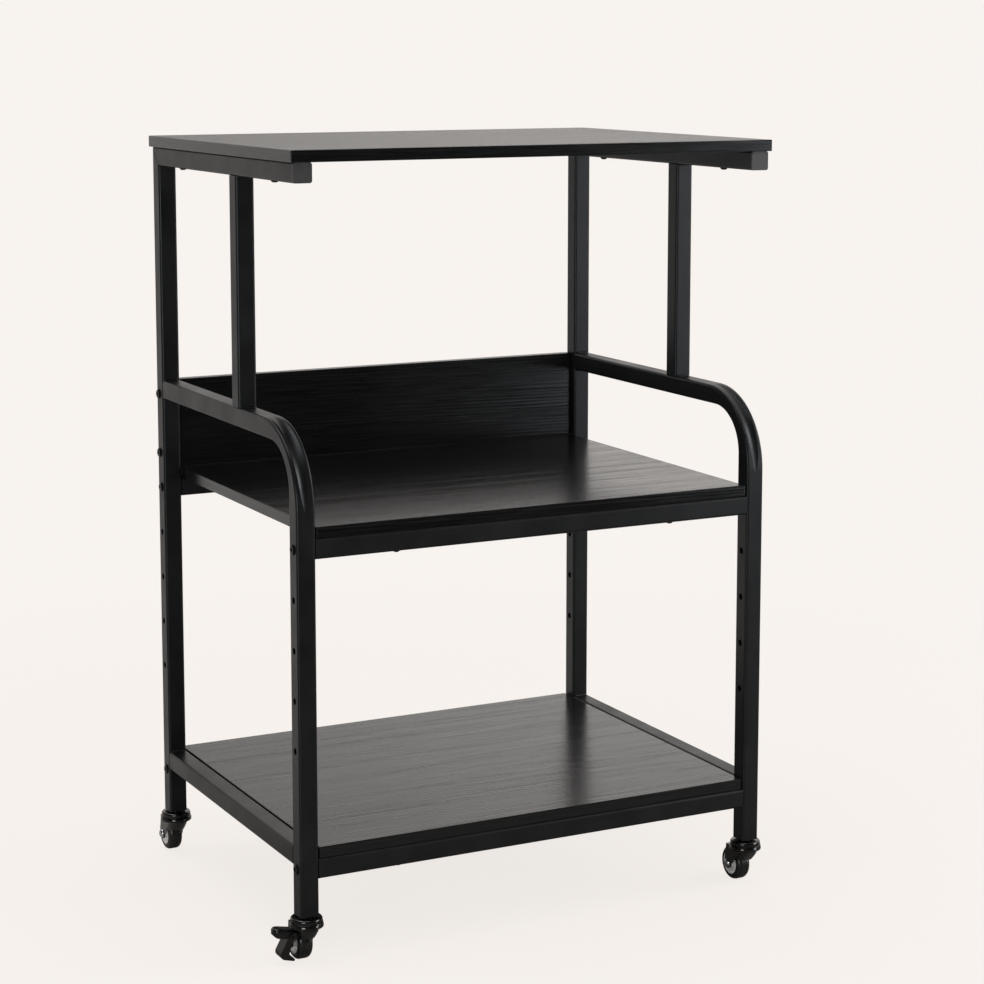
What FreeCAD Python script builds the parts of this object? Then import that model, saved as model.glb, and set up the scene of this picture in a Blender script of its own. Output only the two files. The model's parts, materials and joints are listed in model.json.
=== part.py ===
import FreeCAD, Part
import math
import operator
import os
import types
import Sketcher

# Rolling printer stand. Two welded side frames of square tube carry a top panel, two shelves and a
# back panel, and stand on four swivel casters, of which two have a rocker brake.
# Millimetres. +X is to the right, +Y to the rear and +Z up. The origin is on the floor, under the
# middle of the whole stand.

sizes = {
    # whole stand
    "top_width": 546.1,
    "top_depth": 406.4,
    "bottom_shelf_height": 121.1,
    "lower_space": 292.1,
    "printer_space": 355.6,
    "frame_inset": 3.0,
    # square tube and the side frames
    "tube_size": 20.0,
    "tube_wall": 1.2,
    "tube_corner": 2.5,
    "arm_rise": 98.8,
    "arm_inner_bend": 48.0,
    "arm_outer_bend": 84.0,
    "dish_depth": 2.0,
    "dish_radius": 11.0,
    "upper_post_setback": 150.0,
    "cap_plate": 2.0,
    "cap_plug": 12.0,
    "plug_clearance": 0.1,
    # panels
    "panel_thick": 12.0,
    "panel_edge": 0.8,
    "shelf_end_gap": 1.5,
    "shelf_edge_setback": 1.6,
    "back_panel_thick": 12.0,
    "back_panel_height": 98.0,
    "back_panel_lift": 0.6,
    "back_panel_end_gap": 0.8,
    "back_panel_inset": 0.7,
    # holes, bolts and screws
    "hole_pitch": 50.8,
    "hole_dia": 7.0,
    "bolt_dia": 6.0,
    "bolt_reach": 12.0,
    "bolt_head_dia": 11.0,
    "bolt_head_height": 1.9,
    "bolt_head_rim": 0.5,
    "bolt_socket": 4.0,
    "bolt_socket_depth": 1.3,
    "thread_clearance": 0.06,
    "nut_block_length": 16.0,
    "insert_dia": 9.0,
    "insert_length": 13.0,
    "back_bolt_spacing": 66.0,
    "screw_dia": 4.0,
    "screw_bite": 8.0,
    "screw_head_dia": 8.0,
    "screw_head_height": 2.6,
    "screw_hole_dia": 4.6,
    "top_screw_span": 260.0,
    "shelf_screw_span": 318.0,
    # casters
    "caster_height": 51.0,
    "caster_trail": 18.0,
    "wheel_dia": 37.0,
    "wheel_width": 16.0,
    "tread_round": 0.8,
    "core_dia": 25.0,
    "core_rim": 2.6,
    "core_rim_width": 15.2,
    "core_web": 6.0,
    "core_dish": 0.35,
    "hub_dia": 10.0,
    "hub_side_gap": 0.4,
    "axle_dia": 5.0,
    "axle_head_dia": 10.0,
    "axle_head_height": 2.4,
    "running_clearance": 0.05,
    "wheel_side_gap": 1.2,
    "wheel_top_gap": 1.6,
    "fork_plate": 1.8,
    "fork_end_radius": 6.0,
    "fork_nose_bulge": 75.0,
    "fork_nose_round": 8.0,
    "fork_heel": 3.0,
    "hood_lip": 26.5,
    "head_dia": 32.4,
    "crown_floor": 2.0,
    "crown_height": 5.8,
    "crown_wall": 2.4,
    "crown_underside_round": 3.0,
    "swivel_gap": 0.5,
    "cap_shoulder": 2.4,
    "stem_nut_dia": 14.0,
    "stem_nut_height": 1.6,
    "stem_dia": 8.0,
    "stem_reach": 20.0,
    "rivet_dia": 12.6,
    "rivet_height": 2.0,
    "bearing_bore": 12.0,
    "bearing_play": 0.2,
    "socket_length": 25.0,
    # rocker brake
    "pivot_out": 4.2,
    "pivot_height": 30.0,
    "pivot_pin_dia": 3.0,
    "pivot_barrel_dia": 6.0,
    "lever_width": 15.0,
    "lever_middle": 9.0,
    "lever_tip_round": 6.5,
    "wing_reach": 18.5,
    "wing_rise": 5.4,
    "wing_thick": 9.2,
    "wing_rim": 3.0,
    "toe_reach": 14.8,
    "toe_drop": 21.5,
    "knee_round": 5.5,
    "lip_reach": 17.8,
    "lip_drop": 3.5,
    "lip_thick": 2.4,
    "ear_thick": 2.0,
    "ear_gap": 0.3,
}
spare_hole_count = 4
full_turn = 360

operations = {"+": operator.add, "-": operator.sub, "*": operator.mul, "/": operator.truediv}


class Size:
    """A value of the sheet, or arithmetic on such values, as the text of a formula and as a number."""

    def __init__(self, text, number):
        self.text = text
        self.number = number

    def __add__(self, other):
        return combined(self, "+", other)

    def __radd__(self, other):
        return combined(other, "+", self)

    def __sub__(self, other):
        return combined(self, "-", other)

    def __rsub__(self, other):
        return combined(other, "-", self)

    def __mul__(self, other):
        return combined(self, "*", other)

    def __rmul__(self, other):
        return combined(other, "*", self)

    def __truediv__(self, other):
        return combined(self, "/", other)

    def __neg__(self):
        return combined(0, "-", self)


def as_size(value):
    if isinstance(value, Size):
        return value
    return Size(repr(float(value)), float(value))


def combined(left, sign, right):
    left = as_size(left)
    right = as_size(right)
    return Size(f"({left.text} {sign} {right.text})", operations[sign](left.number, right.number))


def square_root(value):
    return Size(f"sqrt({value.text})", math.sqrt(value.number))


document = FreeCAD.newDocument("printer_stand")
sheet = document.addObject("Spreadsheet::Sheet", "Sizes")
for row, (alias, value) in enumerate(sizes.items(), start=1):
    sheet.set(f"A{row}", alias)
    sheet.set(f"B{row}", str(value))
    sheet.setAlias(f"B{row}", alias)
document.recompute()
size = types.SimpleNamespace(**{alias: Size(f"Sizes.{alias}", value) for alias, value in sizes.items()})
nodes = []

# Drawing and feature functions


def bind(thing, name, value):
    thing.setExpression(name, as_size(value).text)


def new_body(label):
    body = document.addObject("PartDesign::Body", label)
    body.Label = label
    nodes.append(body)
    return body


def origin_part(body, role):
    return next(feature for feature in body.Origin.OriginFeatures if feature.Role == role)


def place(body, x, y, z, turn=None):
    body.Placement = FreeCAD.Placement(FreeCAD.Vector(), turn or FreeCAD.Rotation())
    for axis, value in zip("xyz", (x, y, z)):
        bind(body, f"Placement.Base.{axis}", value)


def sketch_on(body, plane, name, lift=None):
    sketch = body.newObject("Sketcher::SketchObject", name)
    sketch.AttachmentSupport = [(origin_part(body, plane), "")]
    sketch.MapMode = "FlatFace"
    if lift is not None:
        bind(sketch, "AttachmentOffset.Base.z", lift)
    return sketch


def constrain(sketch, constraints):
    # each entry is a kind, the geometry that it holds, and its size or None
    made = [Sketcher.Constraint(kind, *where, *([] if value is None else [as_size(value).number]))
            for kind, where, value in constraints]
    first = sketch.ConstraintCount
    sketch.addConstraint(made)
    for index, (kind, where, value) in enumerate(constraints, start=first):
        if value is not None:
            sketch.setExpression(f"Constraints[{index}]", as_size(value).text)


def fixed_point(geometry, point, x, y):
    # holds one point of the sketch at x, y from its origin
    held = []
    for kind, axis, value in (("DistanceX", -2, x), ("DistanceY", -1, y)):
        if isinstance(value, (int, float)) and value == 0:
            held.append(("PointOnObject", (geometry, point, axis), None))
        else:
            held.append((kind, (-1, 1, geometry, point), value))
    return held


def arc_between(start, end, radius):
    # a counterclockwise arc from start to end, or clockwise for a negative radius
    chord = end - start
    across = FreeCAD.Vector(-chord.y, chord.x, 0).normalize()
    rise = math.sqrt(max(radius ** 2 - chord.Length ** 2 / 4, 0))
    centre = (start + end) / 2 + across * math.copysign(rise, radius)
    first, last = (start, end) if radius > 0 else (end, start)
    angles = [math.atan2(point.y - centre.y, point.x - centre.x) for point in (first, last)]
    circle = Part.Circle(centre, FreeCAD.Vector(0, 0, 1), abs(radius))
    return Part.ArcOfCircle(circle, *angles)


def outline(sketch, corners):
    # a closed outline; a corner with a third value is reached by an arc of that radius
    points = [FreeCAD.Vector(as_size(corner[0]).number, as_size(corner[1]).number, 0) for corner in corners]
    first = sketch.GeometryCount
    ends = []
    held = []
    for index, corner in enumerate(corners):
        start, end = points[index - 1], points[index]
        geometry = first + index
        if len(corner) == 3:
            radius = as_size(corner[2])
            sketch.addGeometry(arc_between(start, end, radius.number), False)
            ends.append((1, 2) if radius.number > 0 else (2, 1))
            held.append(("Radius", (geometry,), radius if radius.number > 0 else -radius))
        else:
            sketch.addGeometry(Part.LineSegment(start, end), False)
            ends.append((1, 2))
    for index, corner in enumerate(corners):
        following = (index + 1) % len(corners)
        joint = (first + index, ends[index][1], first + following, ends[following][0])
        held.append(("Coincident", joint, None))
        held.extend(fixed_point(first + index, ends[index][1], corner[0], corner[1]))
    constrain(sketch, held)


def circle(sketch, x, y, diameter):
    centre = FreeCAD.Vector(as_size(x).number, as_size(y).number, 0)
    upright = FreeCAD.Vector(0, 0, 1)
    index = sketch.addGeometry(Part.Circle(centre, upright, as_size(diameter).number / 2), False)
    constrain(sketch, fixed_point(index, 3, x, y) + [("Diameter", (index,), diameter)])


def rounded_rectangle(width, height, corner, y=0):
    right, top, bottom = width / 2, y + height / 2, y - height / 2
    return [
        (right - corner, bottom),
        (right, bottom + corner, corner),
        (right, top - corner),
        (right - corner, top, corner),
        (corner - right, top),
        (-right, top - corner, corner),
        (-right, bottom + corner),
        (corner - right, bottom, corner),
    ]


def rectangle(width, height):
    right, top = width / 2, height / 2
    return [(right, -top), (right, top), (-right, top), (-right, -top)]


def feature(body, kind, name, sketch, **settings):
    made = body.newObject(f"PartDesign::{kind}", name)
    made.Profile = sketch
    for key, value in settings.items():
        setattr(made, key, value)
    body.Tip = made
    return made


def pad(body, name, sketch, length, **settings):
    made = feature(body, "Pad", name, sketch, **settings)
    bind(made, "Length", length)
    return made


def pocket(body, name, sketch, depth, **settings):
    made = feature(body, "Pocket", name, sketch, **settings)
    bind(made, "Length", depth)
    return made


def cut_through(body, name, sketch):
    return feature(body, "Pocket", name, sketch, Type="ThroughAll", SideType="Symmetric")


def turned(body, name, sketch, axis):
    around = (origin_part(body, axis), [""])
    return feature(body, "Revolution", name, sketch, ReferenceAxis=around, Angle=full_turn)


def mirrored(body, name, plane, originals=None):
    made = body.newObject("PartDesign::Mirrored", name)
    repeat(made, originals)
    made.MirrorPlane = (origin_part(body, plane), [""])
    body.Tip = made


def row_of_two(body, name, axis, distance, originals=None):
    made = body.newObject("PartDesign::LinearPattern", name)
    repeat(made, originals)
    made.Direction = (origin_part(body, axis), [""])
    made.Occurrences = 2
    bind(made, "Length", distance)
    body.Tip = made


def repeat(pattern, originals):
    # a pattern repeats the features that are named, or the whole body
    if originals is None:
        pattern.TransformMode = "Whole shape"
    else:
        pattern.Originals = originals


def rounded_edges(body, name, radius, chosen):
    document.recompute()
    base = body.Tip
    edges = [f"Edge{index}" for index, edge in enumerate(base.Shape.Edges, start=1) if chosen(edge)]
    if not edges:
        raise RuntimeError(f"{body.Label}: no edge to round for {name}")
    made = body.newObject("PartDesign::Fillet", name)
    made.Base = (base, edges)
    bind(made, "Radius", radius)
    body.Tip = made


# Places that several pieces share

tube_inside = size.tube_size - 2 * size.tube_wall
inside_corner = size.tube_corner - size.tube_wall
half_tube = size.tube_size / 2
frame_half_x = size.top_width / 2 - size.frame_inset
frame_half_y = size.top_depth / 2 - size.frame_inset
post_x = frame_half_x - half_tube
post_y = frame_half_y - half_tube
clear_width = 2 * (frame_half_x - size.tube_size)

# the rear wheels reach further out than the front caster heads, so the frame sits a little forward
shift_y = (size.head_dia / 2 - size.caster_trail - size.wheel_dia / 2) / 2

# heights, from the floor up
bottom_top = size.bottom_shelf_height
bottom_rail_top = bottom_top - size.panel_thick
bottom_axis = bottom_rail_top - half_tube
middle_axis = bottom_top + size.lower_space + half_tube
middle_rail_top = middle_axis + half_tube
middle_top = middle_rail_top + size.panel_thick
arm_top = middle_top + size.arm_rise
arm_axis = arm_top - half_tube
top_underside = middle_top + size.printer_space
back_panel_bottom = middle_top + size.back_panel_lift
back_panel_middle = back_panel_bottom + size.back_panel_height / 2
back_panel_y = frame_half_y - size.back_panel_inset - size.back_panel_thick / 2
back_bolt_heights = [back_panel_middle + end * size.back_bolt_spacing / 2 for end in (-1, 1)]
spare_hole_heights = [middle_axis - row * size.hole_pitch for row in range(1, spare_hole_count + 1)]
shelf_hole_heights = [middle_axis, *spare_hole_heights, bottom_axis]

along_y = FreeCAD.Rotation(FreeCAD.Vector(1, 0, 0), -90)
along_x = FreeCAD.Rotation(FreeCAD.Vector(0, 1, 0), 90)
half_turn = FreeCAD.Rotation(FreeCAD.Vector(0, 0, 1), 180)
sides = {"left": -1, "right": 1}

# Side frames


def tube_profile(sketch):
    outline(sketch, rounded_rectangle(size.tube_size, size.tube_size, size.tube_corner))
    outline(sketch, rounded_rectangle(tube_inside, tube_inside, inside_corner))


def straight_tube(label, length):
    body = new_body(label)
    profile = sketch_on(body, "XY_Plane", f"{label}_profile")
    tube_profile(profile)
    pad(body, f"{label}_length", profile, length)
    return body


def mitre(body, length, side):
    # cuts the end of a tube at 45 degrees, down towards the given side of its Y
    tube = size.tube_size
    sketch = sketch_on(body, "YZ_Plane", f"{body.Label}_mitre_line")
    outline(sketch, [
        (side * tube, length - 1.5 * tube),
        (side * tube, length + 0.5 * tube),
        (-side * tube, length + 0.5 * tube),
    ])
    cut_through(body, f"{body.Label}_mitre", sketch)


def drill(body, plane, name, places, diameter):
    sketch = sketch_on(body, plane, f"{name}_places")
    for x, y in places:
        circle(sketch, x, y, diameter)
    return cut_through(body, name, sketch)


def rear_post(side, sign):
    length = top_underside - size.caster_height
    body = straight_tube(f"{side}_rear_post", length)
    mitre(body, length, -1)
    holes = [(0, height - size.caster_height) for height in shelf_hole_heights]
    holes += [(back_panel_y - post_y, height - size.caster_height) for height in back_bolt_heights]
    drill(body, "YZ_Plane", f"{side}_rear_post_holes", holes, size.hole_dia)
    place(body, sign * post_x, post_y + shift_y, size.caster_height)


def top_rail(side, sign):
    length = 2 * frame_half_y - size.cap_plate
    body = straight_tube(f"{side}_top_rail", length)
    mitre(body, length, 1)
    middle = frame_half_y - size.cap_plate
    holes = [(0, middle + end * size.top_screw_span / 2) for end in (-1, 1)]
    drill(body, "XZ_Plane", f"{side}_top_rail_holes", holes, size.screw_hole_dia)
    place(body, sign * post_x, size.cap_plate - frame_half_y + shift_y, top_underside - half_tube, along_y)


def rail_end_cap(side, sign):
    body = new_body(f"{side}_rail_end_cap")
    plate = sketch_on(body, "XY_Plane", f"{side}_cap_outline")
    outline(plate, rounded_rectangle(size.tube_size, size.tube_size, size.tube_corner))
    pad(body, f"{side}_cap_plate", plate, size.cap_plate)
    plug_width = tube_inside - 2 * size.plug_clearance
    plug = sketch_on(body, "XY_Plane", f"{side}_plug_outline", size.cap_plate)
    outline(plug, rounded_rectangle(plug_width, plug_width, inside_corner))
    pad(body, f"{side}_cap_plug", plug, size.cap_plug)
    place(body, sign * post_x, -frame_half_y + shift_y, top_underside - half_tube, along_y)


def upper_post(side, sign):
    body = straight_tube(f"{side}_upper_post", top_underside - size.tube_size - arm_top)
    y = size.upper_post_setback + half_tube - frame_half_y
    place(body, sign * post_x, y + shift_y, arm_top)


def arm_tube(side, sign):
    # runs forward from the rear post, bends down and becomes the front post
    body = new_body(f"{side}_arm_tube")
    front = 1.5 * size.tube_size - 2 * frame_half_y
    foot = size.caster_height - arm_axis
    form = sketch_on(body, "YZ_Plane", f"{side}_arm_outline")
    outline(form, arm_side(0, front, foot, half_tube, size.arm_inner_bend, size.arm_outer_bend))
    pad(body, f"{side}_arm_form", form, size.tube_size, SideType="Symmetric")
    rounded_edges(body, f"{side}_arm_corners", size.tube_corner, along_tube(half_tube, foot))
    bend_dish(body, side, front)

    # the hollow keeps its wall under the dish too
    wall = size.tube_wall
    bore_bend = size.arm_outer_bend + size.dish_depth / (math.sqrt(2) - 1) - wall
    bore = sketch_on(body, "YZ_Plane", f"{side}_arm_bore_outline")
    outline(bore, arm_side(wall, front, foot - wall, tube_inside / 2, size.arm_inner_bend + wall, bore_bend))
    pocket(body, f"{side}_arm_bore", bore, tube_inside, SideType="Symmetric")
    rounded_edges(body, f"{side}_arm_bore_corners", inside_corner, along_tube(tube_inside / 2, foot))

    holes = [(front, height - arm_axis) for height in shelf_hole_heights]
    drill(body, "YZ_Plane", f"{side}_arm_holes", holes, size.hole_dia)
    place(body, sign * post_x, frame_half_y - size.tube_size + shift_y, arm_axis)


def arm_side(rear, front, foot, half, inner, outer):
    # the bent tube from the side; it gets thinner in the bend, where its outer wall sinks in
    return [
        (rear, -half),
        (rear, half),
        (front - half + outer, half),
        (front - half, half - outer, outer),
        (front - half, foot),
        (front + half, foot),
        (front + half, -half - inner),
        (front + half + inner, -half, -inner),
    ]


def along_tube(half, foot):
    # picks the edges that run along the bent tube at a distance from its middle, not those of its two ends
    def chosen(edge):
        middle = edge.CenterOfMass
        at_corner = abs(abs(middle.x) - half.number) < 0.01
        return at_corner and abs(middle.y) > 0.01 and abs(middle.z - foot.number) > 0.01
    return chosen


def bend_dish(body, side, front):
    # the outer face is hollow across the bend, and the hollow fades out at both ends of the bend
    outer = size.arm_outer_bend
    depth = size.dish_depth
    diagonal = math.sqrt(2)
    inward = depth * (2 * outer - depth) / ((2 - diagonal) * outer - 2 * depth)
    floor = outer + inward - depth
    sketch = sketch_on(body, "XZ_Plane", f"{side}_arm_dish_section")
    lean = FreeCAD.Rotation(FreeCAD.Vector(1, 0, 0), 45)
    sketch.AttachmentOffset = FreeCAD.Placement(FreeCAD.Vector(), lean)
    bind(sketch, "AttachmentOffset.Base.y", half_tube - outer - inward / diagonal)
    bind(sketch, "AttachmentOffset.Base.z", half_tube - outer - front - inward / diagonal)
    circle(sketch, 0, floor + size.dish_radius, 2 * size.dish_radius)
    around = (sketch, ["H_Axis"])
    feature(body, "Groove", f"{side}_arm_dish", sketch, ReferenceAxis=around, Angle=90, Midplane=True)


def lower_rail(side, sign):
    body = straight_tube(f"{side}_lower_rail", 2 * (frame_half_y - size.tube_size))
    place(body, sign * post_x, size.tube_size - frame_half_y + shift_y, bottom_top - half_tube, along_y)


for side, sign in sides.items():
    rear_post(side, sign)
    top_rail(side, sign)
    rail_end_cap(side, sign)
    upper_post(side, sign)
    arm_tube(side, sign)
    lower_rail(side, sign)

# Shelves, top and back panel


def cross_rail(label, y, axis_height):
    body = straight_tube(label, clear_width)
    holes = [(0, clear_width / 2 + end * size.shelf_screw_span / 2) for end in (-1, 1)]
    drill(body, "YZ_Plane", f"{label}_holes", holes, size.screw_hole_dia)
    place(body, -clear_width / 2, y + shift_y, axis_height, along_x)


def panel(label, width, depth, underside, screw_x, screw_y):
    body = new_body(label)
    board = sketch_on(body, "XY_Plane", f"{label}_outline")
    outline(board, rectangle(width, depth))
    pad(body, f"{label}_board", board, size.panel_thick)
    rounded_edges(body, f"{label}_edges", size.panel_edge, lambda edge: True)
    pilots = sketch_on(body, "XY_Plane", f"{label}_pilot_places")
    for x in (-screw_x / 2, screw_x / 2):
        for y in (-screw_y / 2, screw_y / 2):
            circle(pilots, x, y, size.screw_dia + 2 * size.thread_clearance)
    pocket(body, f"{label}_pilots", pilots, size.screw_bite + size.thread_clearance, Reversed=True)
    place(body, 0, shift_y, underside)


def back_panel():
    body = new_body("back_panel")
    width = clear_width - 2 * size.back_panel_end_gap
    board = sketch_on(body, "XY_Plane", "back_panel_outline")
    outline(board, rectangle(width, size.back_panel_thick))
    pad(body, "back_panel_board", board, size.back_panel_height)
    rounded_edges(body, "back_panel_edges", size.panel_edge, lambda edge: True)
    ends = sketch_on(body, "YZ_Plane", "back_panel_bore_places", width / 2)
    for height in back_bolt_heights:
        circle(ends, 0, height - back_panel_bottom, size.insert_dia + 2 * size.thread_clearance)
    bores = pocket(body, "back_panel_bores", ends, size.insert_length)
    mirrored(body, "back_panel_other_bores", "YZ_Plane", [bores])
    place(body, 0, back_panel_y + shift_y, back_panel_bottom)


for shelf, axis_height in {"middle": middle_axis, "bottom": bottom_axis}.items():
    cross_rail(f"{shelf}_front_rail", -post_y, axis_height)
    cross_rail(f"{shelf}_rear_rail", post_y, axis_height)
shelf_width = clear_width - 2 * size.shelf_end_gap
shelf_depth = 2 * (frame_half_y - size.shelf_edge_setback)
panel("middle_panel", shelf_width, shelf_depth, middle_rail_top, size.shelf_screw_span, 2 * post_y)
panel("bottom_panel", shelf_width, shelf_depth, bottom_rail_top, size.shelf_screw_span, 2 * post_y)
panel("top_panel", size.top_width, size.top_depth, top_underside, 2 * post_x, size.top_screw_span)
back_panel()

# Bolts, nut blocks, inserts and screws


def side_bolt(body, name):
    # a button head on the outside of a right-hand post, with a shank that runs inwards along X
    shank, head = size.bolt_dia / 2, size.bolt_head_dia / 2
    tip = frame_half_x - size.tube_size - size.bolt_reach
    top = frame_half_x + size.bolt_head_height
    section = sketch_on(body, "XY_Plane", f"{name}_section")
    outline(section, [
        (tip, 0),
        (frame_half_x, 0),
        (top, 0),
        (top, size.bolt_socket),
        (frame_half_x + size.bolt_head_rim, head, size.bolt_head_dia),
        (frame_half_x, head),
        (frame_half_x, shank),
        (tip, shank),
    ])
    turned(body, f"{name}_turned", section, "X_Axis")
    socket = sketch_on(body, "YZ_Plane", f"{name}_socket_outline", top)
    corner = size.bolt_socket / math.sqrt(3)
    outline(socket, [
        (corner, 0),
        (corner / 2, size.bolt_socket / 2),
        (-corner / 2, size.bolt_socket / 2),
        (-corner, 0),
        (-corner / 2, -size.bolt_socket / 2),
        (corner / 2, -size.bolt_socket / 2),
    ])
    pocket(body, f"{name}_socket", socket, size.bolt_socket_depth)


def at_every_shelf_corner(body):
    row_of_two(body, f"{body.Label}_rear", "Y_Axis", 2 * post_y)
    row_of_two(body, f"{body.Label}_middle_shelf", "Z_Axis", middle_axis - bottom_axis)
    mirrored(body, f"{body.Label}_left", "YZ_Plane")
    place(body, 0, -post_y + shift_y, bottom_axis)


def at_every_back_panel_end(body):
    row_of_two(body, f"{body.Label}_upper", "Z_Axis", size.back_bolt_spacing)
    mirrored(body, f"{body.Label}_left", "YZ_Plane")
    place(body, 0, back_panel_y + shift_y, back_bolt_heights[0])


def shelf_bolts():
    body = new_body("shelf_bolts")
    side_bolt(body, "shelf_bolt")
    at_every_shelf_corner(body)


def back_panel_bolts():
    body = new_body("back_panel_bolts")
    side_bolt(body, "back_panel_bolt")
    at_every_back_panel_end(body)


def rail_nut_blocks():
    body = new_body("rail_nut_blocks")
    width = tube_inside - 2 * size.plug_clearance
    end = sketch_on(body, "YZ_Plane", "nut_block_outline", frame_half_x - size.tube_size)
    outline(end, rounded_rectangle(width, width, inside_corner))
    circle(end, 0, 0, size.bolt_dia + 2 * size.thread_clearance)
    pad(body, "nut_block", end, size.nut_block_length, Reversed=True)
    at_every_shelf_corner(body)


def back_panel_inserts():
    body = new_body("back_panel_inserts")
    end = sketch_on(body, "YZ_Plane", "insert_outline", clear_width / 2 - size.back_panel_end_gap)
    circle(end, 0, 0, size.insert_dia)
    circle(end, 0, 0, size.bolt_dia + 2 * size.thread_clearance)
    pad(body, "insert", end, size.insert_length, Reversed=True)
    at_every_back_panel_end(body)


def panel_screws(label, span_x, span_y, head_height):
    # pan heads under a rail, with shanks up through the rail into the panel
    body = new_body(label)
    shank, head = size.screw_dia / 2, size.screw_head_dia / 2
    section = sketch_on(body, "XZ_Plane", f"{label}_section")
    outline(section, [
        (0, -size.screw_head_height),
        (head / 2, -size.screw_head_height),
        (head, -size.screw_head_height / 3, head),
        (head, 0),
        (shank, 0),
        (shank, size.tube_size + size.screw_bite),
        (0, size.tube_size + size.screw_bite),
    ])
    turned(body, f"{label}_turned", section, "Z_Axis")
    row_of_two(body, f"{label}_right", "X_Axis", span_x)
    row_of_two(body, f"{label}_rear", "Y_Axis", span_y)
    place(body, -span_x / 2, -span_y / 2 + shift_y, head_height)


shelf_bolts()
back_panel_bolts()
rail_nut_blocks()
back_panel_inserts()
panel_screws("top_panel_screws", 2 * post_x, size.top_screw_span, top_underside - size.tube_size)
panel_screws("middle_panel_screws", size.shelf_screw_span, 2 * post_y, middle_rail_top - size.tube_size)
panel_screws("bottom_panel_screws", size.shelf_screw_span, 2 * post_y, bottom_rail_top - size.tube_size)

# Casters: each is drawn about its own swivel axis, from the floor up, with the wheel trailing to +Y

axle_height = size.wheel_dia / 2
crown_underside = size.wheel_dia + size.wheel_top_gap
crown_inside = crown_underside + size.crown_floor
crown_rim = crown_underside + size.crown_height
cap_underside = crown_rim + size.swivel_gap
cap_top = size.caster_height - size.stem_nut_height
head_radius = size.head_dia / 2
king_pin = size.stem_dia / 2
fork_gap = size.wheel_width + 2 * size.wheel_side_gap
fork_width = fork_gap + 2 * size.fork_plate
pivot_x = -fork_width / 2 - size.pivot_out
ear_front = size.lever_middle - size.lever_width / 2 - size.ear_gap - size.ear_thick

casters = {
    "front_left": (-1, -1, True),
    "front_right": (1, -1, False),
    "rear_left": (-1, 1, False),
    "rear_right": (1, 1, True),
}
turned_round = "rear_right"


def at_caster(body, name, x=0, y=0, z=0):
    # one caster is swivelled half a turn, with its wheel under the shelf
    sign_x, sign_y, braked = casters[name]
    around = -1 if name == turned_round else 1
    turn = half_turn if name == turned_round else None
    place(body, sign_x * post_x + around * x, sign_y * post_y + shift_y + around * y, z, turn)


def caster_socket(name):
    body = new_body(f"{name}_socket")
    width = tube_inside - 2 * size.plug_clearance
    end = sketch_on(body, "XY_Plane", f"{name}_socket_outline", size.caster_height)
    outline(end, rounded_rectangle(width, width, inside_corner))
    circle(end, 0, 0, size.stem_dia + 2 * size.thread_clearance)
    pad(body, f"{name}_socket_block", end, size.socket_length)
    at_caster(body, name)


def caster_stem(name):
    # king pin with its riveted foot, the fixed cap over the bearing, the nut and the stud, in one turning
    body = new_body(f"{name}_stem")
    rivet = size.rivet_dia / 2
    rivet_top = crown_underside - size.bearing_play
    shoulder = size.cap_shoulder
    section = sketch_on(body, "XZ_Plane", f"{name}_stem_section")
    outline(section, [
        (0, rivet_top - size.rivet_height),
        (rivet, rivet_top - size.rivet_height),
        (rivet, rivet_top),
        (king_pin, rivet_top),
        (king_pin, cap_underside),
        (head_radius, cap_underside),
        (head_radius, cap_top - shoulder),
        (head_radius - shoulder, cap_top, shoulder),
        (size.stem_nut_dia / 2, cap_top),
        (size.stem_nut_dia / 2, size.caster_height),
        (king_pin, size.caster_height),
        (king_pin, size.caster_height + size.stem_reach),
        (0, size.caster_height + size.stem_reach),
    ])
    turned(body, f"{name}_stem_turned", section, "Z_Axis")
    at_caster(body, name)


def swivel_bearing(name):
    body = new_body(f"{name}_bearing")
    ring = sketch_on(body, "XY_Plane", f"{name}_bearing_outline", crown_inside)
    circle(ring, 0, 0, size.head_dia - 2 * (size.crown_wall + size.bearing_play))
    circle(ring, 0, 0, size.bearing_bore)
    pad(body, f"{name}_bearing_ring", ring, cap_underside - crown_inside - size.bearing_play)
    at_caster(body, name)


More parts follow.
